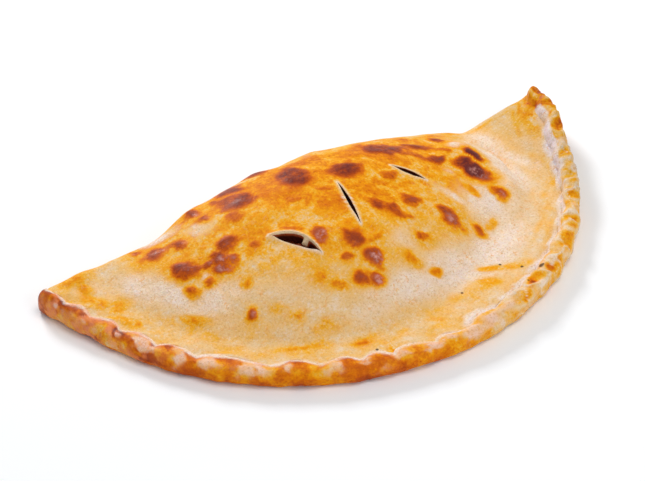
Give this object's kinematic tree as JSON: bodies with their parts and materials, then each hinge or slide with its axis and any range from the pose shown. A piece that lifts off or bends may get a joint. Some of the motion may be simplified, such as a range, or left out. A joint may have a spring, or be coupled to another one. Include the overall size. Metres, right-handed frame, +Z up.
{
  "type": "seafood calzone",
  "caption": "Half-moon folded pizza-dough calzone with a rope-crimped curved rim, a puffed top with steam slits and a dark seafood filling inside.",
  "frame": {"origin": "bottom centre of the bounding box: the middle of the plan rectangle, on the surface the calzone rests on", "axes": "+X along the straight fold towards the wing that curls up, +Y towards the fold (back), so the crimped curve faces -Y, +Z up"},
  "size_m": [0.2804, 0.1384, 0.0372],
  "materials": {
    "crust": "baked dough, golden with brown blisters, satin",
    "filling": "moist dark tomato sauce with seafood, glossy"
  },
  "bodies": {
    "root": {"crust": "crust", "filling": "filling"}
  },
  "joints": []
}
